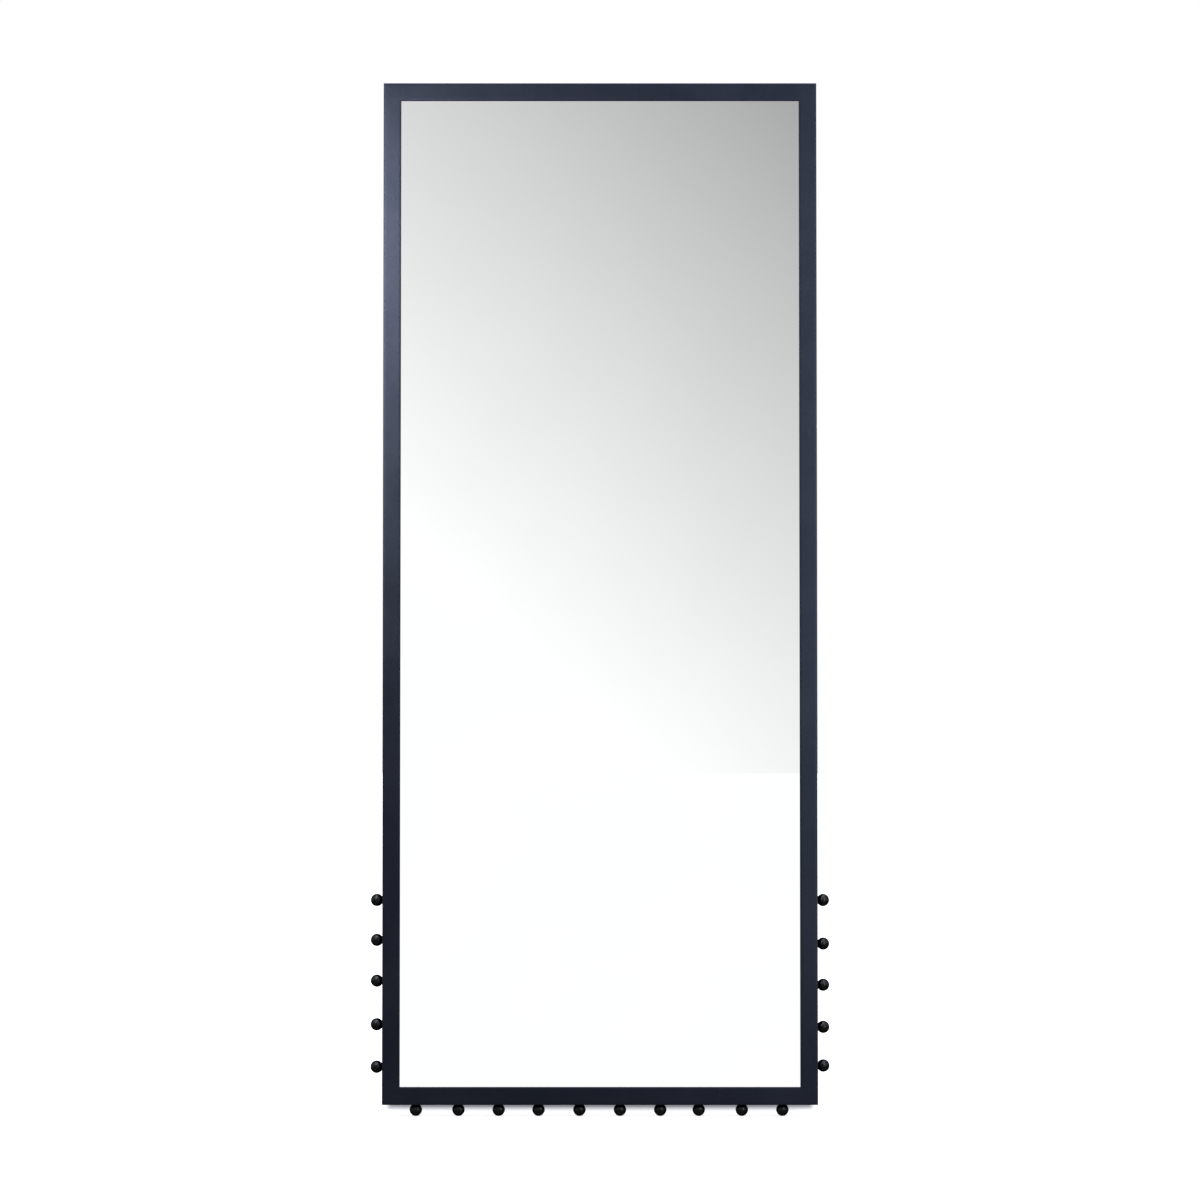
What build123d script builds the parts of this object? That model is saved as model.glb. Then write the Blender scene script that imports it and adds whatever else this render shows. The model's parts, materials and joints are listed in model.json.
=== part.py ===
from build123d import *
import math
import os

# Floor mirror: a tall pane in a mitred steel frame, with iron balls welded along its bottom edge
# and up the lower end of both sides. Millimetres. X to the right, Y to the back, Z up.
# The origin is on the floor under the middle of the mirror, midway between its front and the wall.

INCH = 25.4

# Frame
frame_width = 34 * INCH
frame_height = 80 * INCH
frame_depth = 38.0
face_width = 35.0        # what shows from the front
face_thickness = 3.0
lip_width = 8.0          # the part of the face that overlaps the glass
tube_wall = 1.5
tube_corner_radius = 2.0
lip_edge_radius = 1.0

# Balls, which are set by eye, so each strays a little from its even place
ball_radius = 12.5
ball_seat_height = 11.4  # from the frame's edge to the ball's centre
side_ball_first = 74.5   # from the frame's bottom edge
side_ball_pitch = 82.0
bottom_ball_pitch = 80.8
left_ball_drift = (-1.1, 0.9, 5.2, 4.0, 1.2)
right_ball_drift = (1.3, -4.2, -2.9, -3.3, 1.1)
bottom_ball_drift = (-1.9, 1.8, 0.9, -0.8, -0.4, -0.8, -1.7, -6.1, -1.4, -1.7)

# What the frame holds
edge_gap = 2.0           # round the glass and the board
tape_thickness = 1.0
tape_width = 5.0
glass_thickness = 5.0
glass_arris = 0.5
foam_thickness = 2.0
foam_width = 6.0
strip_joint = 0.5        # between the ends of two strips
board_thickness = 6.0
block_length = 60.0

# Tabs that hold the board
tab_thickness = 1.5
tab_width = 20.0
tab_reach = 18.0         # over the board
tab_leg = 15.0           # along the frame
tab_bend_radius = 1.5    # inside the bend
stile_tab_count = 4
rail_tab_count = 2

# Hangers
hanger_drop = 300.0      # from the top of the frame to the ring's pivot
strap_width = 16.0
strap_length = 52.0      # from the pivot to the strap's end
strap_thickness = 1.5
strap_corner_radius = 4.0
loop_turn = 300.0        # degrees that the strap is rolled round the ring
ring_stock = 3.0         # square section of the ring
ring_side_gap = 1.0      # each side of the strap
ring_running_gap = 0.25
ring_leg = 8.0           # from the pivot to the start of the bow
ring_bend_radius = 3.0
screw_radius = 1.9
screw_head_radius = 3.4
screw_head_height = 2.0
screw_length = 14.0
screw_clearance = 0.1
screw_first = 27.0       # from the pivot, clear of the ring when it is turned up
screw_pitch = 17.0

# Rubber bumpers on the back
bumper_radius = 8.0
bumper_height = 8.0
bumper_inset = 70.0      # from the frame's ends

# Levels and faces that follow from these
front_y = -(frame_depth + bumper_height) / 2
frame_back_y = front_y + frame_depth
frame_bottom = ball_radius + ball_seat_height
frame_top = frame_bottom + frame_height
frame_middle = frame_bottom + frame_height / 2
half_width = frame_width / 2
ball_y = front_y + frame_depth / 2
tube_width = face_width - lip_width
tube_centre = half_width - tube_width / 2

tape_y = front_y + face_thickness
glass_y = tape_y + tape_thickness
foam_y = glass_y + glass_thickness
board_y = foam_y + foam_thickness
board_back_y = board_y + board_thickness

rebate_width = frame_width - 2 * tube_width
rebate_height = frame_height - 2 * tube_width
pane_width = rebate_width - 2 * edge_gap
pane_height = rebate_height - 2 * edge_gap

loop_inner_radius = ring_stock / math.sqrt(2) + ring_running_gap
loop_outer_radius = loop_inner_radius + strap_thickness
pivot_y = frame_back_y + loop_outer_radius
pivot_z = frame_top - hanger_drop
ring_half_width = strap_width / 2 + ring_side_gap + ring_stock / 2

on_its_base = (Align.CENTER, Align.CENTER, Align.MIN)
under_its_top = (Align.CENTER, Align.CENTER, Align.MAX)

os.makedirs("parts", exist_ok=True)


def finish(piece, name):
    """Label a piece and write it to its file."""
    piece.part.label = name
    export_step(piece.part, f"parts/{name}.step")


def facing_back(x, y, z):
    """A plane whose Z points to the back."""
    return Plane(origin=(x, y, z), x_dir=(1, 0, 0), z_dir=(0, 1, 0))


# The middle of each member's outer edge, on the frame's front. X points out of the frame,
# Y to the back, and Z along the member.
left_edge = Plane((-half_width, front_y, frame_middle), x_dir=(-1, 0, 0), z_dir=(0, 0, -1))
right_edge = Plane((half_width, front_y, frame_middle), x_dir=(1, 0, 0), z_dir=(0, 0, 1))
top_edge = Plane((0, front_y, frame_top), x_dir=(0, 0, 1), z_dir=(-1, 0, 0))
bottom_edge = Plane((0, front_y, frame_bottom), x_dir=(0, 0, -1), z_dir=(1, 0, 0))

strap_centres = (-tube_centre, tube_centre)
screw_heights = [pivot_z + screw_first + i * screw_pitch for i in range(2)]


def frame_member(edge, length, drilled_x=None):
    """A mitred length of the frame's section: a tube with a face that laps over the glass.

    A stile is drilled through its back wall at drilled_x for the screws of its hanger.
    """
    with BuildPart() as member:
        with BuildSketch(edge) as section:
            with Locations((-tube_width / 2, frame_depth / 2)):
                RectangleRounded(tube_width, frame_depth, tube_corner_radius)
            with Locations((-face_width, 0)):
                lip_and_root = lip_width + tube_corner_radius
                Rectangle(lip_and_root, face_thickness, align=(Align.MIN, Align.MIN))
            lip_edge = section.vertices().group_by(Axis.X)[0].sort_by(Axis.Y)[0]
            fillet(lip_edge, lip_edge_radius)
            with Locations((-tube_wall, face_thickness)):
                hollow_width = tube_width - 2 * tube_wall
                hollow_depth = frame_depth - face_thickness - tube_wall
                inwards = (Align.MAX, Align.MIN)
                Rectangle(hollow_width, hollow_depth, align=inwards, mode=Mode.SUBTRACT)
        extrude(amount=length / 2, both=True)
        for end in (-1, 1):
            corner = edge.origin + edge.z_dir * (end * length / 2)
            mitre = Plane(corner, z_dir=edge.z_dir * end - edge.x_dir)
            split(bisect_by=mitre, keep=Keep.BOTTOM)
        if drilled_x is not None:
            with Locations(*[facing_back(drilled_x, frame_back_y, z) for z in screw_heights]):
                Hole(screw_radius + screw_clearance, depth=2 * tube_wall)
    return member


finish(frame_member(left_edge, frame_height, -tube_centre), "left_stile")
finish(frame_member(right_edge, frame_height, tube_centre), "right_stile")
finish(frame_member(top_edge, frame_width), "top_rail")
finish(frame_member(bottom_edge, frame_width), "bottom_rail")


# Balls, each with a flat where it is welded to the frame
ball_x = half_width + ball_seat_height
side_centres = []
for side, drifts in ((-1, left_ball_drift), (1, right_ball_drift)):
    for i, drift in enumerate(drifts):
        height = side_ball_first + i * side_ball_pitch + drift
        side_centres.append((side * ball_x, ball_y, frame_bottom + height))

with BuildPart() as side_balls:
    with Locations(*side_centres):
        Sphere(ball_radius, rotation=(0, 90, 0))
    with Locations((0, ball_y, frame_middle)):
        Box(frame_width, frame_depth, frame_height, mode=Mode.SUBTRACT)
finish(side_balls, "side_balls")

bottom_centres = []
for i, drift in enumerate(bottom_ball_drift):
    place = i - (len(bottom_ball_drift) - 1) / 2
    bottom_centres.append((place * bottom_ball_pitch + drift, ball_y, ball_radius))

with BuildPart() as bottom_balls:
    with Locations(*bottom_centres):
        Sphere(ball_radius)
    split(bisect_by=Plane.XY.offset(frame_bottom), keep=Keep.BOTTOM)
finish(bottom_balls, "bottom_balls")


def pane(thickness, y, arris=0.0):
    """A sheet that fills the rebate but for the gap round its edge."""
    with BuildPart() as sheet:
        with Locations((0, y + thickness / 2, frame_middle)):
            Box(pane_width, thickness, pane_height)
        if arris:
            chamfer(sheet.edges(), arris)
    return sheet


def strips(thickness, width, y):
    """Two upright and two level strips along the edges of the pane."""
    level_length = pane_width - 2 * width - 2 * strip_joint
    with BuildPart() as group:
        for side in (-1, 1):
            with Locations((side * (pane_width - width) / 2, y + thickness / 2, frame_middle)):
                Box(width, thickness, pane_height)
            level = frame_middle + side * (pane_height - width) / 2
            with Locations((0, y + thickness / 2, level)):
                Box(level_length, thickness, width)
    return group


finish(strips(tape_thickness, tape_width, tape_y), "glazing_tape")
finish(pane(glass_thickness, glass_y, glass_arris), "mirror_glass")
finish(strips(foam_thickness, foam_width, foam_y), "backing_foam")
finish(pane(board_thickness, board_y), "backing_board")

with BuildPart() as setting_blocks:
    block_z = frame_bottom + tube_width + edge_gap / 2
    for side in (-1, 1):
        with Locations((side * pane_width / 4, glass_y + glass_thickness / 2, block_z)):
            Box(block_length, glass_thickness, edge_gap)
finish(setting_blocks, "setting_blocks")


def board_tabs(edge, rebate_length, count):
    """Bent tabs along one member, welded to its inner side and turned down over the board."""
    pitch = rebate_length / count
    places = [edge.offset((i - (count - 1) / 2) * pitch) for i in range(count)]
    wall = -tube_width
    board_level = board_back_y - front_y
    with BuildPart() as tabs:
        with BuildSketch(*places) as profile:
            with BuildLine():
                Polyline(
                    (wall, board_level),
                    (wall, board_level + tab_leg),
                    (wall - tab_thickness, board_level + tab_leg),
                    (wall - tab_thickness, board_level + tab_thickness),
                    (wall - tab_reach, board_level + tab_thickness),
                    (wall - tab_reach, board_level),
                    close=True,
                )
            make_face()
            columns = profile.vertices().group_by(Axis.X)
            outer_bend = columns[-1].sort_by(Axis.Y)[0]
            inner_bend = columns[-2].sort_by(Axis.Y)[0]
            fillet(inner_bend, tab_bend_radius)
            fillet(outer_bend, tab_bend_radius + tab_thickness)
        extrude(amount=tab_width / 2, both=True)
    return tabs


finish(board_tabs(left_edge, rebate_height, stile_tab_count), "board_tabs_left")
finish(board_tabs(right_edge, rebate_height, stile_tab_count), "board_tabs_right")
finish(board_tabs(top_edge, rebate_width, rail_tab_count), "board_tabs_top")
finish(board_tabs(bottom_edge, rebate_width, rail_tab_count), "board_tabs_bottom")


# Hanger straps, rolled at the lower end round the straight bar of the ring
strap_face_y = frame_back_y + strap_thickness
screw_seats = [facing_back(x, strap_face_y, z) for x in strap_centres for z in screw_heights]

with BuildPart() as hanger_straps:
    with BuildSketch(*[Plane.YZ.offset(x) for x in strap_centres]):
        with BuildLine():
            pivot = (pivot_y, pivot_z)
            rolled_outside = CenterArc(pivot, loop_outer_radius, 180, loop_turn)
            rolled_inside = CenterArc(pivot, loop_inner_radius, 180, loop_turn)
            Line(rolled_outside @ 1, rolled_inside @ 1)
            strap_end = pivot_z + strap_length
            Polyline(
                rolled_outside @ 0,
                (frame_back_y, strap_end),
                (strap_face_y, strap_end),
                rolled_inside @ 0,
            )
        make_face()
    extrude(amount=strap_width / 2, both=True)
    fillet(hanger_straps.edges().filter_by(Axis.Y).group_by(Axis.Z)[-1], strap_corner_radius)
    with Locations(*screw_seats):
        Hole(screw_radius + screw_clearance, depth=strap_thickness)
finish(hanger_straps, "hanger_straps")

with BuildPart() as hanger_screws:
    with Locations(*screw_seats):
        Cylinder(screw_head_radius, screw_head_height, align=on_its_base)
        Cylinder(screw_radius, screw_length, align=under_its_top)
finish(hanger_screws, "hanger_screws")


def d_ring(x):
    """A flat ring with a straight bar on top, hanging straight down."""
    with BuildPart() as ring:
        with BuildSketch(facing_back(x, pivot_y, pivot_z)):
            for grow, mode in ((ring_stock / 2, Mode.ADD), (-ring_stock / 2, Mode.SUBTRACT)):
                half = ring_half_width + grow
                with BuildLine():
                    bar_and_legs = FilletPolyline(
                        (-half, ring_leg),
                        (-half, -grow),
                        (half, -grow),
                        (half, ring_leg),
                        radius=ring_bend_radius + grow,
                    )
                    ThreePointArc(bar_and_legs @ 1, (0, ring_leg + half), bar_and_legs @ 0)
                make_face(mode=mode)
        extrude(amount=ring_stock / 2, both=True)
    return ring


finish(d_ring(-tube_centre), "d_ring_left")
finish(d_ring(tube_centre), "d_ring_right")


bumper_heights = (frame_bottom + bumper_inset, frame_top - bumper_inset)
bumper_seats = [facing_back(x, frame_back_y, z) for x in strap_centres for z in bumper_heights]

with BuildPart() as wall_bumpers:
    with Locations(*bumper_seats):
        Cylinder(bumper_radius, bumper_height, align=on_its_base)
finish(wall_bumpers, "wall_bumpers")
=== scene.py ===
import json
import math

import bmesh
import bpy
from mathutils import Matrix, Vector, noise


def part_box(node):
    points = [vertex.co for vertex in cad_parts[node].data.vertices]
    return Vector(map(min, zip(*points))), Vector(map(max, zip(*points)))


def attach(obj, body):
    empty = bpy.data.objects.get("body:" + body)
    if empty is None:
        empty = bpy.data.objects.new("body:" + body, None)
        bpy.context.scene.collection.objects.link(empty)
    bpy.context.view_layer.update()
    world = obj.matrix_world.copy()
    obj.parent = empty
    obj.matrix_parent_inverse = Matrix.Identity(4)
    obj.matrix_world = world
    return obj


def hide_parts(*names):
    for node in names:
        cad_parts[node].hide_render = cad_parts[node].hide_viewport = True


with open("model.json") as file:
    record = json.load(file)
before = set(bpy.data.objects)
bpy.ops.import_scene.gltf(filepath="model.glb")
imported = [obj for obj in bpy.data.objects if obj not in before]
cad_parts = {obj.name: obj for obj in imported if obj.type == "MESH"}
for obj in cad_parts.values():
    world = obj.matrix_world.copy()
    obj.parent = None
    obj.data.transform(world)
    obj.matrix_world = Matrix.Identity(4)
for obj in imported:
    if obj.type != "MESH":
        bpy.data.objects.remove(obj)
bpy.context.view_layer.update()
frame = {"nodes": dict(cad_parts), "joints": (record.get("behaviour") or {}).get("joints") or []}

# Floor mirror. Metres, in the frame's own axes: X to the viewer's right, Y to the back, Z up.
MM = 0.001
RIGHT, BACK, UP = Vector((1, 0, 0)), Vector((0, 1, 0)), Vector((0, 0, 1))


# Camera, as far away and as low as the photograph's own
CAMERA_DISTANCE = 6.0
CAMERA_HEIGHT = 0.865
CAMERA_PITCH = math.radians(1.52)
CAMERA_LENS = 90.27
SENSOR = 36.0


def set_up_camera():
    data = bpy.data.cameras.new("camera")
    data.lens = CAMERA_LENS
    data.sensor_width = SENSOR
    camera = bpy.data.objects.new("camera", data)
    camera.location = (0, -CAMERA_DISTANCE, CAMERA_HEIGHT)
    camera.rotation_euler = (math.radians(90) + CAMERA_PITCH, 0, 0)
    bpy.context.scene.collection.objects.link(camera)
    bpy.context.scene.camera = camera


# Shader maths

class Value:
    """One output of a shader node, which Python's operators work on."""

    def __init__(self, tree, socket):
        self.tree = tree
        self.socket = socket

    def math(self, operation, *values):
        node = self.tree.nodes.new("ShaderNodeMath")
        node.operation = operation
        for socket, value in zip(node.inputs, values):
            feed(self.tree, socket, value)
        return Value(self.tree, node.outputs[0])

    def __add__(self, other):
        return self.math("ADD", self, other)

    def __sub__(self, other):
        return self.math("SUBTRACT", self, other)

    def __rsub__(self, other):
        return self.math("SUBTRACT", other, self)

    def __mul__(self, other):
        return self.math("MULTIPLY", self, other)

    def __truediv__(self, other):
        return self.math("DIVIDE", self, other)

    def __abs__(self):
        return self.math("ABSOLUTE", self)

    __radd__ = __add__
    __rmul__ = __mul__

    def clamped(self):
        return self.at_least(0.0).at_most(1.0)

    def at_least(self, floor):
        return self.math("MAXIMUM", self, floor)

    def at_most(self, ceiling):
        return self.math("MINIMUM", self, ceiling)

    def power(self, exponent):
        return self.math("POWER", self, exponent)

    def smooth(self, low, high):
        """0 below low, 1 above high, and a straight ramp between."""
        return ((self - low) / (high - low)).clamped()


def feed(tree, socket, value):
    """Link a value to a socket, or set the socket to a plain number, colour or vector."""
    if isinstance(value, Value):
        tree.links.new(value.socket, socket)
    else:
        socket.default_value = value


class Shading:
    """The nodes of one material or of the world."""

    def __init__(self, owner):
        owner.use_nodes = True
        self.tree = owner.node_tree
        self.tree.nodes.clear()

    def node(self, kind, settings=None, inputs=None, output=0):
        """Add a node, set it up, feed its sockets, and return one of its outputs."""
        node = self.tree.nodes.new(kind)
        for name, value in (settings or {}).items():
            if name == "stops":
                self.set_stops(node.color_ramp, value)
            else:
                setattr(node, name, value)
        for name, value in (inputs or {}).items():
            feed(self.tree, node.inputs[name], value)
        return Value(self.tree, node.outputs[output])

    @staticmethod
    def set_stops(ramp, stops):
        while len(ramp.elements) < len(stops):
            ramp.elements.new(1.0)
        for element, (position, colour) in zip(ramp.elements, stops):
            element.position = position
            element.color = colour

    def place(self):
        """The surface point in metres."""
        return self.node("ShaderNodeTexCoord", output="Object")

    def stretched(self, vector, scale):
        return self.node("ShaderNodeVectorMath", {"operation": "MULTIPLY"}, {0: vector, 1: scale})

    def noise(self, vector, scale, detail=2.0, roughness=0.5):
        sockets = {"Vector": vector, "Scale": scale, "Detail": detail, "Roughness": roughness}
        return self.node("ShaderNodeTexNoise", {}, sockets, "Fac")

    def spots(self, vector, scale):
        return self.node("ShaderNodeTexVoronoi", {}, {"Vector": vector, "Scale": scale}, "Distance")

    def mixed(self, factor, first, second):
        """A colour part of the way from the first to the second."""
        sockets = {0: factor, 6: first, 7: second}
        return self.node("ShaderNodeMix", {"data_type": "RGBA"}, sockets, 2)

    def bump(self, height, strength, distance):
        sockets = {"Height": height, "Strength": strength, "Distance": distance}
        return self.node("ShaderNodeBump", {}, sockets)

    def surface(self, shader):
        output = self.tree.nodes.new("ShaderNodeOutputMaterial")
        self.tree.links.new(shader.socket, output.inputs["Surface"])


def shade(red, green, blue):
    """A colour with full alpha, from linear values."""
    return (red, green, blue, 1.0)


def new_finish(name):
    material = bpy.data.materials.new(name)
    return material, Shading(material)


# Finishes

BLUE_STEEL = shade(0.045, 0.054, 0.083)
BLUE_STEEL_PALE = shade(0.054, 0.062, 0.092)
BLUE_STEEL_DARK = shade(0.033, 0.041, 0.066)
BARE_STEEL = shade(0.20, 0.20, 0.21)
IRON_DARK = shade(0.022, 0.022, 0.024)
IRON_PALE = shade(0.058, 0.058, 0.060)
DARK_EDGE = shade(0.12, 0.12, 0.13)      # how little a dark oxide shines at a glancing angle


def blued_steel():
    """The frame's satin blue-grey finish: rubbed by hand, with faint clouds and fine scratches."""
    material, s = new_finish("blued_steel")
    place = s.place()
    clouds = s.noise(place, 9.0, 4.0, 0.55)
    streaks = s.noise(s.stretched(place, (260.0, 260.0, 40.0)), 1.0, 3.0)
    grain = s.noise(place, 1400.0, 2.0)
    pits = 1 - s.spots(place, 170.0).smooth(0.05, 0.16)
    colour = s.mixed(clouds.smooth(0.35, 0.65), BLUE_STEEL_DARK, BLUE_STEEL_PALE)
    colour = s.mixed(0.55, colour, BLUE_STEEL)
    colour = s.mixed(streaks.smooth(0.62, 0.78) * 0.12, colour, BARE_STEEL)
    colour = s.mixed(pits * 0.25, colour, BLUE_STEEL_DARK)
    roughness = 0.35 + clouds * 0.07 + streaks * 0.05
    height = streaks * 0.4 + grain * 0.35 - pits * 0.5
    sockets = {
        "Base Color": colour,
        "Metallic": 1.0,
        "Roughness": roughness,
        "Specular Tint": DARK_EDGE,
        "Normal": s.bump(height, 0.10, 0.0003),
    }
    s.surface(s.node("ShaderNodeBsdfPrincipled", {}, sockets))
    return material


def forged_iron():
    """Near-black iron of the balls, waxed, with hammer scale."""
    material, s = new_finish("forged_iron")
    place = s.place()
    scale_marks = s.noise(place, 420.0, 4.0, 0.6)
    dents = s.spots(place, 260.0)
    colour = s.mixed(scale_marks.smooth(0.35, 0.70), IRON_DARK, IRON_PALE)
    height = scale_marks * 0.6 + dents * 0.5
    sockets = {
        "Base Color": colour,
        "Metallic": 1.0,
        "Roughness": 0.24 + scale_marks * 0.14,
        "Specular Tint": DARK_EDGE,
        "Normal": s.bump(height, 0.18, 0.0004),
    }
    s.surface(s.node("ShaderNodeBsdfPrincipled", {}, sockets))
    return material


def silvered_glass():
    """The mirror: a sharp reflection, with the faint unevenness of its silvering."""
    material, s = new_finish("silvered_glass")
    depth = s.noise(s.place(), 3.0, 2.0)
    colour = s.mixed(depth.smooth(0.3, 0.7), shade(0.905, 0.915, 0.915), shade(0.925, 0.93, 0.932))
    sockets = {"Base Color": colour, "Metallic": 1.0, "Roughness": 0.0}
    s.surface(s.node("ShaderNodeBsdfPrincipled", {}, sockets))
    return material


def fibreboard():
    """Black-faced fibreboard with a fine fibrous tooth."""
    material, s = new_finish("fibreboard")
    place = s.place()
    fibres = s.noise(s.stretched(place, (900.0, 900.0, 240.0)), 1.0, 5.0, 0.65)
    clouds = s.noise(place, 6.0, 3.0)
    colour = s.mixed(fibres.smooth(0.3, 0.75), shade(0.020, 0.020, 0.022), shade(0.052, 0.050, 0.050))
    colour = s.mixed(clouds.smooth(0.4, 0.8) * 0.35, colour, shade(0.075, 0.072, 0.070))
    sockets = {
        "Base Color": colour,
        "Metallic": 0.0,
        "Roughness": 0.72 + fibres * 0.12,
        "Normal": s.bump(fibres, 0.25, 0.0004),
    }
    s.surface(s.node("ShaderNodeBsdfPrincipled", {}, sockets))
    return material


def zinc_plate():
    """Bright zinc plating on the hangers, with a fine spangle and handling marks."""
    material, s = new_finish("zinc_plate")
    place = s.place()
    spangle = s.spots(place, 700.0)
    marks = s.noise(s.stretched(place, (300.0, 300.0, 1500.0)), 1.0, 3.0)
    colour = s.mixed(spangle.smooth(0.1, 0.6), shade(0.56, 0.57, 0.58), shade(0.70, 0.70, 0.69))
    colour = s.mixed(marks.smooth(0.55, 0.8) * 0.4, colour, shade(0.44, 0.45, 0.48))
    sockets = {
        "Base Color": colour,
        "Metallic": 1.0,
        "Roughness": 0.30 + marks * 0.14,
        "Normal": s.bump(spangle + marks, 0.12, 0.0002),
    }
    s.surface(s.node("ShaderNodeBsdfPrincipled", {}, sockets))
    return material


def moulded_rubber():
    """Dull black rubber of the bumpers and blocks, with a bloom on it."""
    material, s = new_finish("moulded_rubber")
    place = s.place()
    bloom = s.noise(place, 160.0, 3.0)
    tooth = s.noise(place, 1800.0, 2.0)
    colour = s.mixed(bloom.smooth(0.4, 0.7), shade(0.014, 0.014, 0.015), shade(0.034, 0.034, 0.035))
    sockets = {
        "Base Color": colour,
        "Metallic": 0.0,
        "Roughness": 0.62 + bloom * 0.15,
        "Normal": s.bump(tooth, 0.2, 0.0002),
    }
    s.surface(s.node("ShaderNodeBsdfPrincipled", {}, sockets))
    return material


def cell_foam():
    """Closed-cell foam strip."""
    material, s = new_finish("cell_foam")
    cells = s.spots(s.place(), 1400.0)
    colour = s.mixed(cells.smooth(0.1, 0.6), shade(0.012, 0.012, 0.012), shade(0.045, 0.045, 0.046))
    sockets = {
        "Base Color": colour,
        "Metallic": 0.0,
        "Roughness": 0.80 + cells * 0.1,
        "Normal": s.bump(cells, 0.5, 0.0003),
    }
    s.surface(s.node("ShaderNodeBsdfPrincipled", {}, sockets))
    return material


def weld_metal():
    """Brushed-over weld beads."""
    material, s = new_finish("weld_metal")
    place = s.place()
    scale_marks = s.noise(place, 500.0, 4.0, 0.6)
    colour = s.mixed(scale_marks.smooth(0.3, 0.7), shade(0.045, 0.046, 0.058), shade(0.11, 0.11, 0.13))
    sockets = {
        "Base Color": colour,
        "Metallic": 0.85,
        "Roughness": 0.46 + scale_marks * 0.15,
        "Normal": s.bump(scale_marks, 0.3, 0.0004),
    }
    s.surface(s.node("ShaderNodeBsdfPrincipled", {}, sockets))
    return material


# Mesh making

def piece_from(name, build, finish_material, body, replaces=()):
    """Make a mesh object by calling build on an empty bmesh, and fix it to the frame."""
    mesh_maker = bmesh.new()
    build(mesh_maker)
    bmesh.ops.recalc_face_normals(mesh_maker, faces=mesh_maker.faces)
    data = bpy.data.meshes.new(name)
    mesh_maker.to_mesh(data)
    mesh_maker.free()
    data.materials.append(finish_material)
    data.shade_smooth()
    piece = bpy.data.objects.new(name, data)
    bpy.context.scene.collection.objects.link(piece)
    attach(piece, body)
    if replaces:
        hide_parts(*replaces)
    return piece


def crisp(piece, angle=35.0):
    """Keep the flat faces flat beside rounded edges."""
    piece.data.set_sharp_from_angle(angle=math.radians(angle))
    return piece


def bevelled(piece, width, segments=3):
    """Round a piece's edges, and keep its flat faces flat."""
    bevel = piece.modifiers.new("rounded_edges", "BEVEL")
    bevel.width = width
    bevel.segments = segments
    bevel.limit_method = "ANGLE"
    bevel.angle_limit = math.radians(35)
    bevel.harden_normals = True
    return piece


def skin(bm, rings, closed_ends=True):
    """Faces between closed rings of points, one after the other."""
    rows = [[bm.verts.new(point) for point in ring] for ring in rings]
    count = len(rows[0])
    for row, following in zip(rows, rows[1:]):
        for i in range(count):
            j = (i + 1) % count
            bm.faces.new((row[i], row[j], following[j], following[i]))
    if closed_ends:
        bm.faces.new(rows[0])
        bm.faces.new(rows[-1])


def turned(bm, profile, place, segments=32):
    """A lathe form. The profile holds (radius, height) pairs, and ends on the axis."""
    rings = []
    for radius, height in profile[1:-1]:
        ring = []
        for i in range(segments):
            angle = 2 * math.pi * i / segments
            ring.append(place @ Vector((radius * math.cos(angle), radius * math.sin(angle), height)))
        rings.append([bm.verts.new(point) for point in ring])
    first = bm.verts.new(place @ Vector((0, 0, profile[0][1])))
    last = bm.verts.new(place @ Vector((0, 0, profile[-1][1])))
    for i in range(segments):
        j = (i + 1) % segments
        bm.faces.new((first, rings[0][i], rings[0][j]))
        bm.faces.new((last, rings[-1][j], rings[-1][i]))
        for row, following in zip(rings, rings[1:]):
            bm.faces.new((row[i], following[i], following[j], row[j]))


def in_metres(profile):
    """A profile that is written in millimetres."""
    return [(radius * MM, height * MM) for radius, height in profile]


def arc(centre, radius, start, end, steps):
    """Points along an arc, in degrees, with both ends."""
    points = []
    for i in range(steps + 1):
        angle = math.radians(start + (end - start) * i / steps)
        points.append((centre[0] + radius * math.cos(angle), centre[1] + radius * math.sin(angle)))
    return points


# Places read from the frame

FRAME_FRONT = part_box("left_stile")[0].y
FRAME_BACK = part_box("left_stile")[1].y
FRAME_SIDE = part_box("right_stile")[1].x
FRAME_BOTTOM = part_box("bottom_rail")[0].z
FRAME_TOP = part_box("top_rail")[1].z
FRAME_MIDDLE = (FRAME_BOTTOM + FRAME_TOP) / 2
FACE_WIDTH = FRAME_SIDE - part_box("right_stile")[0].x
FACE_THICKNESS = 3.0 * MM
LIP_WIDTH = 8.0 * MM
TUBE_WIDTH = FACE_WIDTH - LIP_WIDTH


def solid_boxes(node):
    """The lowest and highest corner of each separate solid of a node, from left to right."""
    bm = bmesh.new()
    bm.from_mesh(frame["nodes"][node].data)
    bmesh.ops.remove_doubles(bm, verts=bm.verts, dist=0.001 * MM)
    waiting = set(bm.verts)
    boxes = []
    while waiting:
        front = [waiting.pop()]
        found = []
        while front:
            vertex = front.pop()
            found.append(vertex.co.copy())
            for edge in vertex.link_edges:
                other = edge.other_vert(vertex)
                if other in waiting:
                    waiting.remove(other)
                    front.append(other)
        low = Vector([min(point[i] for point in found) for i in range(3)])
        high = Vector([max(point[i] for point in found) for i in range(3)])
        boxes.append((low, high))
    bm.free()
    return sorted(boxes, key=lambda box: (round(box[0].x, 4), round(box[0].z, 4)))


def rectangle(width, height):
    """The corners of a rectangle about the middle."""
    x, y = width / 2, height / 2
    return (-x, -y), (x, -y), (x, y), (-x, y)


def upright(origin, direction):
    """A placing whose Z points along a direction."""
    turn = Vector(direction).to_track_quat("Z", "Y").to_matrix().to_4x4()
    return Matrix.Translation(origin) @ turn


# Frame members

ARRIS = 2.0 * MM
LIP_ARRIS = 1.0 * MM
FRAME_DEPTH = FRAME_BACK - FRAME_FRONT
HAND_RUB = 0.20 * MM     # how far the rubbed faces stray from flat
RUB_WAVES = 14.0         # waves of rubbing to the metre
STATION_PITCH = 30.0 * MM


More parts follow.
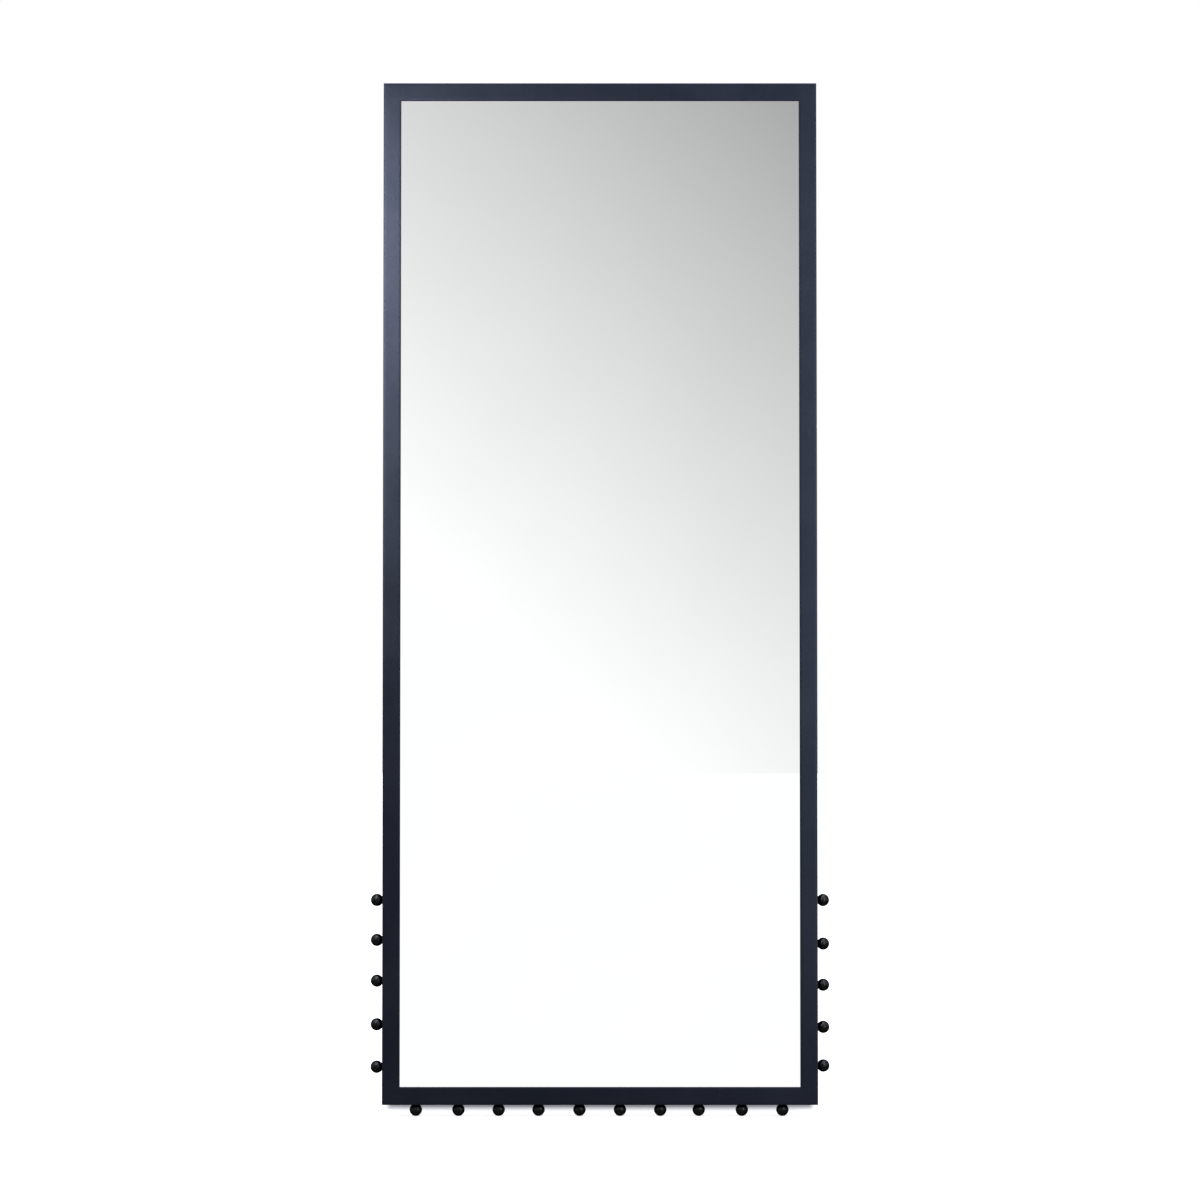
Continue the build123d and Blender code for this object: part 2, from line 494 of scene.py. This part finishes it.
def evenly(start, end, steps):
    """Points strictly between two points of a flat face."""
    return [
        tuple(a + (b - a) * i / steps for a, b in zip(start, end))
        for i in range(1, steps)
    ]


def member_section():
    """The outline of a member: how far in from its outer edge, and how far back from its front."""
    deep = FRAME_DEPTH - ARRIS
    near_lip = FACE_WIDTH - LIP_ARRIS
    points = [(FACE_WIDTH, FACE_THICKNESS)]
    points += arc((near_lip, LIP_ARRIS), LIP_ARRIS, 0, -90, 4)
    points += evenly((near_lip, 0), (ARRIS, 0), 7)
    points += arc((ARRIS, ARRIS), ARRIS, 270, 180, 6)
    points += evenly((0, ARRIS), (0, deep), 6)
    points += arc((ARRIS, deep), ARRIS, 180, 90, 6)
    points += evenly((ARRIS, FRAME_DEPTH), (TUBE_WIDTH - ARRIS, FRAME_DEPTH), 5)
    points += arc((TUBE_WIDTH - ARRIS, deep), ARRIS, 90, 0, 6)
    points.append((TUBE_WIDTH, FACE_THICKNESS))
    return points


def rubbed(point):
    """Sink a point of the front face a little, as a hand-rubbed face is sunk."""
    sunk = 0.5 + 0.5 * noise.noise(point * RUB_WAVES)
    on_front = max(0.0, 1 - (point.y - FRAME_FRONT) / (0.5 * MM))
    return point + Vector((0, HAND_RUB * sunk * on_front, 0))


def frame_member(name, corner, inward, along, length):
    """A mitred member. The corner is the middle of its outer front edge."""
    stations = max(8, round(length / STATION_PITCH))

    def build(bm):
        rings = []
        for i in range(stations + 1):
            share = 2 * i / stations - 1
            ring = []
            for depth_in, depth_back in member_section():
                run = share * (length / 2 - depth_in)
                point = corner + inward * depth_in + along * run + Vector((0, depth_back, 0))
                ring.append(rubbed(point))
            rings.append(ring)
        skin(bm, rings)

    piece = piece_from(name, build, FINISH["blued_steel"], "root", (name,))
    return crisp(piece)


def make_frame():
    height = FRAME_TOP - FRAME_BOTTOM
    width = 2 * FRAME_SIDE
    left = Vector((-FRAME_SIDE, FRAME_FRONT, FRAME_MIDDLE))
    right = Vector((FRAME_SIDE, FRAME_FRONT, FRAME_MIDDLE))
    frame_member("left_stile", left, RIGHT, UP, height)
    frame_member("right_stile", right, -RIGHT, UP, height)
    frame_member("top_rail", Vector((0, FRAME_FRONT, FRAME_TOP)), -UP, RIGHT, width)
    frame_member("bottom_rail", Vector((0, FRAME_FRONT, FRAME_BOTTOM)), UP, RIGHT, width)


# Weld beads

MITRE_BEAD_WIDTH = 4.0 * MM
MITRE_BEAD_HEIGHT = 0.6 * MM
MITRE_RIPPLES = 12
TACK_WIDTH = 2.4 * MM
TACK_HEIGHT = 0.8 * MM
TACK_RIPPLES = 5
BEAD_ROOT = 0.2 * MM     # how deep a bead is sunk in the metal


def bead(bm, start, end, outward, width, height, ripples):
    """A weld bead on a flat face, humped where each drop of it set."""
    run = end - start
    across = run.cross(outward).normalized() * width / 2
    rings = []
    steps = ripples * 3
    for i in range(steps + 1):
        share = i / steps
        swell = 0.82 + 0.18 * abs(math.sin(math.pi * ripples * share))
        taper = min(1.0, 4 * share + 0.15, 4 * (1 - share) + 0.15)
        centre = start + run * share
        ring = []
        for side, rise in arc((0, 0), 1.0, 0, 180, 6):
            sideways = across * side * swell * taper
            ring.append(centre + sideways + outward * height * rise * swell * taper)
        ring.append(centre - outward * BEAD_ROOT)
        rings.append(ring)
    skin(bm, rings)


def make_mitre_welds():
    """A ground-down bead along each mitre, on the back of the frame."""
    def build(bm):
        for sx in (-1, 1):
            for sz, level in ((-1, FRAME_BOTTOM), (1, FRAME_TOP)):
                outer = Vector((sx * FRAME_SIDE, FRAME_BACK, level))
                diagonal = Vector((-sx, 0, -sz))
                start = outer + diagonal * 1.5 * MM
                end = outer + diagonal * (TUBE_WIDTH - 1.0 * MM)
                bead(bm, start, end, BACK, MITRE_BEAD_WIDTH, MITRE_BEAD_HEIGHT, MITRE_RIPPLES)

    piece_from("mitre_welds", build, FINISH["weld_metal"], "root")


# Balls

BALL_RADIUS = 12.5 * MM
WELD_FOOT = 6.9 * MM
WELD_TOP = 0.9 * MM      # where the weld ends and the ball begins
BALL_STEPS = 18
DENT_DEPTH = 0.012       # as a share of the radius
DENTS = 130.0            # dents to the metre


def ball_profile(centre_height):
    """From the frame out: the weld's foot, its hollow, and the ball round to its pole."""
    start = math.degrees(math.acos((centre_height - WELD_TOP) / BALL_RADIUS))
    hollow = [(WELD_FOOT - 0.25 * MM, 0.35 * MM), (WELD_FOOT - 0.15 * MM, 0.65 * MM)]
    profile = [(0, 0), (WELD_FOOT, 0)] + hollow
    for i in range(BALL_STEPS):
        angle = math.radians(180 - start - (180 - start) * i / BALL_STEPS)
        height = centre_height + BALL_RADIUS * math.cos(angle)
        profile.append((BALL_RADIUS * math.sin(angle), height))
    profile.append((0, centre_height + BALL_RADIUS))
    return profile


def forged_balls(name, node, outward_of):
    """Balls forged by hand, so none is quite round. Each stands out from the frame."""
    def build(bm):
        for low, high in solid_boxes(node):
            outward = outward_of(low)
            reach = abs((high - low).dot(outward))
            seat = (low + high) / 2 - outward * reach / 2
            centre_height = reach - BALL_RADIUS
            before = set(bm.verts)
            turned(bm, ball_profile(centre_height), upright(seat, outward), 36)
            centre = seat + outward * centre_height
            for vertex in set(bm.verts) - before:
                arm = vertex.co - centre
                clear_of_weld = arm.dot(outward) > -BALL_RADIUS * 0.8
                if clear_of_weld:
                    dent = 0.5 + 0.5 * noise.noise(vertex.co * DENTS)
                    vertex.co = centre + arm * (1 - DENT_DEPTH * dent)

    piece_from(name, build, FINISH["forged_iron"], "root", (node,))


def make_balls():
    forged_balls("bottom_forged_balls", "bottom_balls", lambda low: -UP)
    forged_balls("side_forged_balls", "side_balls", lambda low: RIGHT * math.copysign(1, low.x))


# Tabs that hold the board

TAB_THICKNESS = 1.5 * MM
TAB_BEND = 1.5 * MM      # inside the bend
TAB_EDGE = 0.25 * MM     # how far its sheared edges are rounded
BEND_STEPS = 8
TACK_SHARE = 0.64        # of the tab's width


def tab_section(reach, leg):
    """The bent strip's outline: how far in from the frame's wall, and how far up from the board."""
    inner, outer = TAB_BEND, TAB_BEND + TAB_THICKNESS
    points = [(0, leg), (TAB_THICKNESS, leg)]
    points += arc((outer, outer), inner, 180, 270, BEND_STEPS)
    points += [(reach, TAB_THICKNESS), (reach, 0)]
    points += arc((outer, outer), outer, 270, 180, BEND_STEPS)
    return points


def bent_tabs(name, node, inward, along):
    """Every tab of one member, as one piece."""
    def build(bm):
        for low, high in solid_boxes(node):
            size = high - low
            reach, width = abs(size.dot(inward)), abs(size.dot(along))
            corner = (low + high) / 2 - inward * reach / 2
            corner.y = low.y
            rings = []
            for side in (-0.5, 0.5):
                place = corner + along * side * width
                section = tab_section(reach, size.y)
                rings.append([place + inward * u + Vector((0, v, 0)) for u, v in section])
            skin(bm, rings)

    piece = piece_from(name, build, FINISH["blued_steel"], "root", (node,))
    return bevelled(piece, TAB_EDGE, 2)


def tack_welds(name, node, inward, along):
    """A short weld at the back end of each tab's leg, where it meets the frame's wall."""
    def build(bm):
        for low, high in solid_boxes(node):
            reach = abs((high - low).dot(inward))
            width = abs((high - low).dot(along))
            middle = (low + high) / 2 - inward * (reach / 2 - TAB_THICKNESS * 0.4)
            middle.y = high.y
            half_run = along * width * TACK_SHARE / 2
            start, end = middle - half_run, middle + half_run
            bead(bm, start, end, BACK, TACK_WIDTH, TACK_HEIGHT, TACK_RIPPLES)

    piece_from(name, build, FINISH["weld_metal"], "root")


def make_tabs():
    members = (
        ("left", RIGHT, UP),
        ("right", -RIGHT, UP),
        ("top", -UP, RIGHT),
        ("bottom", UP, RIGHT),
    )
    for side, inward, along in members:
        node = "board_tabs_" + side
        bent_tabs("bent_tabs_" + side, node, inward, along)
        tack_welds("tab_welds_" + side, node, inward, along)


# Hangers

PIVOTS = {joint["child"]: Vector(joint["pos_m"]) for joint in frame["joints"]}
STRAP_WIDTH = 16.0 * MM
STRAP_THICKNESS = 1.5 * MM
STRAP_CORNER = 4.0 * MM
STRAP_EDGE = 0.2 * MM
STRAP_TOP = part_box("hanger_straps")[1].z
LOOP_START, LOOP_END = 180, 480          # degrees that the strap is rolled through
SCREW_HEIGHTS = (27.0 * MM, 44.0 * MM)   # over the pivot
CROSS_WIDTH = 0.84 * MM
CROSS_LEVELS = ((0.9 * MM, 0.9 * MM), (2.6 * MM, 2.1 * MM))   # height and reach of its arms
RING_STOCK = 3.0 * MM
RING_HALF_WIDTH = 10.5 * MM
RING_LEG = 8.0 * MM
RING_BEND = 3.0 * MM
RING_EDGE = 0.6 * MM


def strap_section(pivot, drop):
    """The strap seen from the side, as (Y, Z) points. The drop lowers its top end."""
    outer = pivot.y - FRAME_BACK
    inner = outer - STRAP_THICKNESS
    top = STRAP_TOP - drop
    centre = (pivot.y, pivot.z)
    points = arc(centre, outer, LOOP_START, LOOP_END, 40)
    points += arc(centre, inner, LOOP_END, LOOP_START, 40)
    points += [(FRAME_BACK + STRAP_THICKNESS, top), (FRAME_BACK, top)]
    return points


def rolled_straps():
    """Both straps, each with its lower end rolled round the bar of its ring."""
    def build(bm):
        for pivot in PIVOTS.values():
            corner = [
                (STRAP_WIDTH / 2 - STRAP_CORNER + across, STRAP_CORNER - up)
                for across, up in arc((0, 0), STRAP_CORNER, 90, 0, 8)
            ]
            profile = [(-across, drop) for across, drop in reversed(corner)] + corner
            rings = []
            for across, drop in profile:
                section = strap_section(pivot, drop)
                rings.append([Vector((pivot.x + across, y, z)) for y, z in section])
            skin(bm, rings)

    replaced = ("hanger_straps",)
    piece = piece_from("rolled_straps", build, FINISH["zinc_plate"], "root", replaced)
    return bevelled(crisp(piece), STRAP_EDGE, 2)


def cross_cutter(seats):
    """The shape that cuts the driver's cross into the screw heads."""
    mesh_maker = bmesh.new()
    for seat in seats:
        for turn in (0, 90):
            rotated = seat @ Matrix.Rotation(math.radians(turn), 4, "Z")
            rings = []
            for height, reach in CROSS_LEVELS:
                corners = rectangle(2 * reach, CROSS_WIDTH)
                rings.append([rotated @ Vector((x, y, height)) for x, y in corners])
            skin(mesh_maker, rings)
    bmesh.ops.recalc_face_normals(mesh_maker, faces=mesh_maker.faces)
    data = bpy.data.meshes.new("cross_cutter")
    mesh_maker.to_mesh(data)
    mesh_maker.free()
    cutter = bpy.data.objects.new("cross_cutter", data)
    bpy.context.scene.collection.objects.link(cutter)
    return cutter


def pan_head_screws():
    seats = []
    for pivot in PIVOTS.values():
        for i, height in enumerate(SCREW_HEIGHTS):
            seat = Vector((pivot.x, FRAME_BACK + STRAP_THICKNESS, pivot.z + height))
            turn = Matrix.Rotation(math.radians(23 + 31 * i + 900 * pivot.x), 4, "Z")
            seats.append(upright(seat, BACK) @ turn)
    shank = [(0, -14.0), (1.2, -13.4), (1.9, -12.0), (1.9, 0)]
    pan = [(3.25, 0), (3.4, 0.15), (3.4, 0.7), (3.25, 1.15), (2.9, 1.5), (2.35, 1.78)]
    crown = [(1.6, 1.94), (0.8, 1.99), (0, 2.0)]

    def build(bm):
        for seat in seats:
            turned(bm, in_metres(shank + pan + crown), seat, 32)

    replaced = ("hanger_screws",)
    piece = piece_from("pan_head_screws", build, FINISH["zinc_plate"], "root", replaced)
    cut = piece.modifiers.new("cross", "BOOLEAN")
    cut.operation = "DIFFERENCE"
    cut.solver = "EXACT"
    cut.use_self = True
    cut.object = cross_cutter(seats)
    bpy.context.view_layer.update()
    graph = bpy.context.evaluated_depsgraph_get()
    cut_mesh = bpy.data.meshes.new_from_object(piece.evaluated_get(graph))
    bpy.data.objects.remove(cut.object)
    piece.modifiers.clear()
    piece.data = cut_mesh
    return crisp(piece, 40)


def rounded_square(size, edge):
    """The outline of square stock with its edges rounded."""
    flat = size / 2 - edge
    points = []
    for i, (sx, sy) in enumerate(((1, 1), (-1, 1), (-1, -1), (1, -1))):
        points += arc((sx * flat, sy * flat), edge, 90 * i, 90 * i + 90, 3)
    return points


def ring_path():
    """The ring's middle line with the way out from it, as (X, Z) pairs round the pivot."""
    inset = RING_HALF_WIDTH - RING_BEND
    turns = (
        ((inset, -RING_BEND), RING_BEND, 90, 0, 8),
        ((0, -RING_LEG), RING_HALF_WIDTH, 0, -180, 36),
        ((-inset, -RING_BEND), RING_BEND, 180, 90, 8),
    )
    for centre, radius, start, end, steps in turns:
        for point in arc(centre, radius, start, end, steps):
            yield point, ((point[0] - centre[0]) / radius, (point[1] - centre[1]) / radius)


def d_ring(name, body, node):
    pivot = PIVOTS[body]

    def build(bm):
        rings = []
        for (x, z), (out_x, out_z) in ring_path():
            place = pivot + Vector((x, 0, z))
            out = Vector((out_x, 0, out_z))
            section = rounded_square(RING_STOCK, RING_EDGE)
            rings.append([place + out * u + Vector((0, v, 0)) for u, v in section])
        skin(bm, rings + rings[:1], closed_ends=False)
        bmesh.ops.remove_doubles(bm, verts=bm.verts, dist=0.001 * MM)

    piece = piece_from(name, build, FINISH["zinc_plate"], body, (node,))
    return crisp(piece, 32)


def rubber_bumpers():
    """Moulded bumpers with a rounded rim and a dimple."""
    foot = [(0, 0), (7.7, 0), (8.0, 0.3)]
    turns = (0, 0.4, 0.8, 1.2, 1.57)
    rim = [(6.5 + 1.5 * math.cos(turn), 6.5 + 1.5 * math.sin(turn)) for turn in turns]
    dimple = [(2.6, 8.0), (2.2, 7.8), (2.0, 7.2), (1.8, 6.6), (0, 6.6)]

    def build(bm):
        for low, high in solid_boxes("wall_bumpers"):
            seat = (low + high) / 2
            seat.y = low.y
            turned(bm, in_metres(foot + rim + dimple), upright(seat, BACK), 40)

    rubber, replaced = FINISH["moulded_rubber"], ("wall_bumpers",)
    return crisp(piece_from("rubber_bumpers", build, rubber, "root", replaced), 50)


def make_hangers():
    rolled_straps()
    pan_head_screws()
    d_ring("hanging_ring_left", "ring_left", "d_ring_left")
    d_ring("hanging_ring_right", "ring_right", "d_ring_right")


# Stage and light

FLOOR_RADIUS = 22.0
MIRROR_TINT = 0.92
MIRRORED_WHITE = 1.09    # what the mirror sees ahead of it
MIRRORED_GREY = 0.55     # what it sees well to the side
FALL_MIDDLE = 0.983      # the fall in the mirror: its level straight ahead,
FALL_ASIDE = 2.16        # how fast it darkens to the right
FALL_UP = 2.30           # and how fast it darkens upwards
PLAIN_LEVEL = 0.9        # the studio at the sides and the back
FRONT_LEVEL = 0.22       # the dim studio in front, which the frame's face reflects
OVERHEAD_LEVEL = 0.18    # what the studio in front gains overhead
FLOOR_DIM = 0.16         # the floor, as satin metal reflects it
COOL_SKY = shade(0.94, 0.97, 1.12)
WHITE = shade(1, 1, 1)
WARM = shade(1.0, 0.96, 0.88)
FLOOR_CLOTH = shade(0.80, 0.80, 0.80)
# the cloth's colour inside the painted shadow behind the mirror's foot
FLOOR_IN_SHADOW = shade(0.33, 0.33, 0.33)
FLOOR_GLOW = 1.14


def light_path(s, name):
    return s.node("ShaderNodeLightPath", output=name)


def split(s, vector):
    """The X, Y and Z of a vector."""
    parts = s.tree.nodes.new("ShaderNodeSeparateXYZ")
    s.tree.links.new(vector.socket, parts.inputs[0])
    return [Value(s.tree, socket) for socket in parts.outputs]


def set_up_world():
    """White for the camera, a grey to white fall for the mirror, and a dimmer studio for all else."""
    world = bpy.data.worlds.new("studio")
    bpy.context.scene.world = world
    s = Shading(world)
    x, y, z = split(s, s.node("ShaderNodeTexCoord", output="Generated"))
    ahead = (0 - y).at_least(0.05)
    aside = x / ahead
    fall = (FALL_MIDDLE - FALL_ASIDE * aside - FALL_UP * (z / ahead)) / MIRROR_TINT
    seen_ahead = fall.at_least(0.42).at_most(MIRRORED_WHITE)
    seen_aside = (MIRRORED_GREY - 0.30 * (z / ahead)).at_least(0.30).at_most(MIRRORED_WHITE)
    to_side = abs(aside).smooth(0.12, 0.32)
    seen_in_mirror = (1 - to_side) * seen_ahead + to_side * seen_aside
    front = FRONT_LEVEL + OVERHEAD_LEVEL * z.smooth(0.10, 0.80)
    in_front = (0 - y).smooth(0.05, 0.80)
    studio = in_front * front + (1 - in_front) * PLAIN_LEVEL
    camera = light_path(s, "Is Camera Ray")
    singular = light_path(s, "Is Singular Ray")
    through = light_path(s, "Is Transmission Ray")
    plain_white = camera + (1 - camera) * (through + (1 - through) * seen_in_mirror)
    white = s.node("ShaderNodeBackground", {}, {"Color": WHITE, "Strength": plain_white})
    cool = s.node("ShaderNodeBackground", {}, {"Color": COOL_SKY, "Strength": studio})
    is_white = (camera + singular + through).at_most(1.0)
    sky = s.node("ShaderNodeMixShader", {}, {0: is_white, 1: cool, 2: white})
    output = s.tree.nodes.new("ShaderNodeOutputWorld")
    s.tree.links.new(sky.socket, output.inputs["Surface"])


def floor_white():
    """Lit cloth, made up to white for the camera but for a painted shadow behind the mirror's foot,
    where the cloth is darker.
    """
    material, s = new_finish("floor_white")
    x, y, _ = split(s, s.place())
    aside = abs(x)
    # Painted shadow: a band behind the foot, about as wide as the frame, where the cloth is darker and
    # gets no glow for the camera.
    behind = y.smooth(0.045, 0.132) * (1 - y.smooth(0.15, 0.215))
    painted_shadow_band = behind * (1 - aside.smooth(0.425, 0.442))
    distance = (x * x + y * y).power(0.5)
    made_up = (1 - painted_shadow_band) * (0.56 + 0.44 * distance.smooth(0.9, 2.2))
    camera = light_path(s, "Is Camera Ray")
    singular = light_path(s, "Is Singular Ray")
    glossy = light_path(s, "Is Glossy Ray")
    lit_cloth = s.node("ShaderNodeBsdfDiffuse", {}, {"Color": FLOOR_CLOTH})
    # The painted shadow's darker copy of the cloth, used inside the band.
    shaded_cloth = s.node("ShaderNodeBsdfDiffuse", {}, {"Color": FLOOR_IN_SHADOW})
    cloth = s.node("ShaderNodeMixShader", {}, {0: painted_shadow_band, 1: lit_cloth, 2: shaded_cloth})
    unlit = s.node("ShaderNodeEmission", {}, {"Strength": 0.0})
    bright = s.node("ShaderNodeEmission", {}, {"Strength": FLOOR_GLOW})
    glow = s.node("ShaderNodeMixShader", {}, {0: camera * made_up, 1: unlit, 2: bright})
    lit = s.node("ShaderNodeAddShader", {}, {0: cloth, 1: glow})
    aside_of_mirror = (aside + 0.12 * y - 0.5).at_least(0)
    off_centre = aside_of_mirror / (aside_of_mirror + 1.3)
    white = s.node("ShaderNodeEmission", {}, {"Strength": MIRRORED_WHITE})
    grey = s.node("ShaderNodeEmission", {}, {"Strength": MIRRORED_GREY})
    mirrored = s.node("ShaderNodeMixShader", {}, {0: off_centre, 1: white, 2: grey})
    dim = s.node("ShaderNodeEmission", {}, {"Strength": FLOOR_DIM})
    lit = s.node("ShaderNodeMixShader", {}, {0: glossy, 1: lit, 2: dim})
    s.surface(s.node("ShaderNodeMixShader", {}, {0: singular, 1: lit, 2: mirrored}))
    return material


def make_floor():
    """A round pale floor."""
    mesh_maker = bmesh.new()
    bmesh.ops.create_circle(mesh_maker, cap_ends=True, segments=64, radius=FLOOR_RADIUS)
    data = bpy.data.meshes.new("floor")
    mesh_maker.to_mesh(data)
    mesh_maker.free()
    data.materials.append(floor_white())
    floor = bpy.data.objects.new("floor", data)
    bpy.context.scene.collection.objects.link(floor)


def softbox_cloth(name, colour, strength):
    """Light from the cloth's front, which neither the camera nor the mirror sees."""
    material, s = new_finish(name)
    unseen = (light_path(s, "Is Camera Ray") + light_path(s, "Is Singular Ray")).at_most(1.0)
    from_behind = s.node("ShaderNodeNewGeometry", output="Backfacing")
    dark = unseen.at_least(from_behind)
    glow = s.node("ShaderNodeEmission", {}, {"Color": colour, "Strength": strength})
    clear = s.node("ShaderNodeBsdfTransparent")
    s.surface(s.node("ShaderNodeMixShader", {}, {0: dark, 1: glow, 2: clear}))
    return material


def softbox(name, place, target, size, strength, colour=WHITE):
    """A lit panel of cloth, in place of a lamp, so that the mirror doesn't show it."""
    mesh_maker = bmesh.new()
    facing = upright(place, Vector(target) - Vector(place))
    corners = [facing @ Vector((x, y, 0)) for x, y in rectangle(*size)]
    mesh_maker.faces.new([mesh_maker.verts.new(corner) for corner in corners])
    data = bpy.data.meshes.new(name)
    mesh_maker.to_mesh(data)
    mesh_maker.free()
    data.materials.append(softbox_cloth(name, colour, strength))
    panel = bpy.data.objects.new(name, data)
    bpy.context.scene.collection.objects.link(panel)


def ceiling_lamp():
    data = bpy.data.lights.new("ceiling", "AREA")
    data.size = 4.0
    data.energy = 160.0
    lamp = bpy.data.objects.new("ceiling", data)
    lamp.location = (0, -0.6, 5.0)
    bpy.context.scene.collection.objects.link(lamp)


def set_up_lamps():
    """A panel for each bright stretch of the frame, and a wide lamp overhead."""
    softbox("window_left", (-1.0, -1.5, 1.72), (-0.42, 0, 1.60), (0.6, 0.6), 9.2, WARM)
    softbox("window_edge", (-0.68, -1.0, 1.94), (-0.42, 0, 1.80), (0.28, 0.35), 14.0, WARM)
    softbox("window_right", (1.15, -1.5, 1.27), (0.42, 0, 1.10), (0.8, 2.1), 2.6)
    ceiling_lamp()


# Making it

FINISH = {
    "blued_steel": blued_steel(),
    "forged_iron": forged_iron(),
    "silvered_glass": silvered_glass(),
    "fibreboard": fibreboard(),
    "zinc_plate": zinc_plate(),
    "moulded_rubber": moulded_rubber(),
    "cell_foam": cell_foam(),
    "weld_metal": weld_metal(),
}

KEPT_NODES = {
    "mirror_glass": "silvered_glass",
    "backing_board": "fibreboard",
    "glazing_tape": "cell_foam",
    "backing_foam": "cell_foam",
    "setting_blocks": "moulded_rubber",
}

for node_name, finish_name in KEPT_NODES.items():
    node_mesh = frame["nodes"][node_name].data
    node_mesh.materials.clear()
    node_mesh.materials.append(FINISH[finish_name])

make_frame()
make_mitre_welds()
make_balls()
make_tabs()
make_hangers()
rubber_bumpers()

bpy.context.scene.view_settings.view_transform = "Standard"
set_up_camera()
set_up_world()
make_floor()
set_up_lamps()
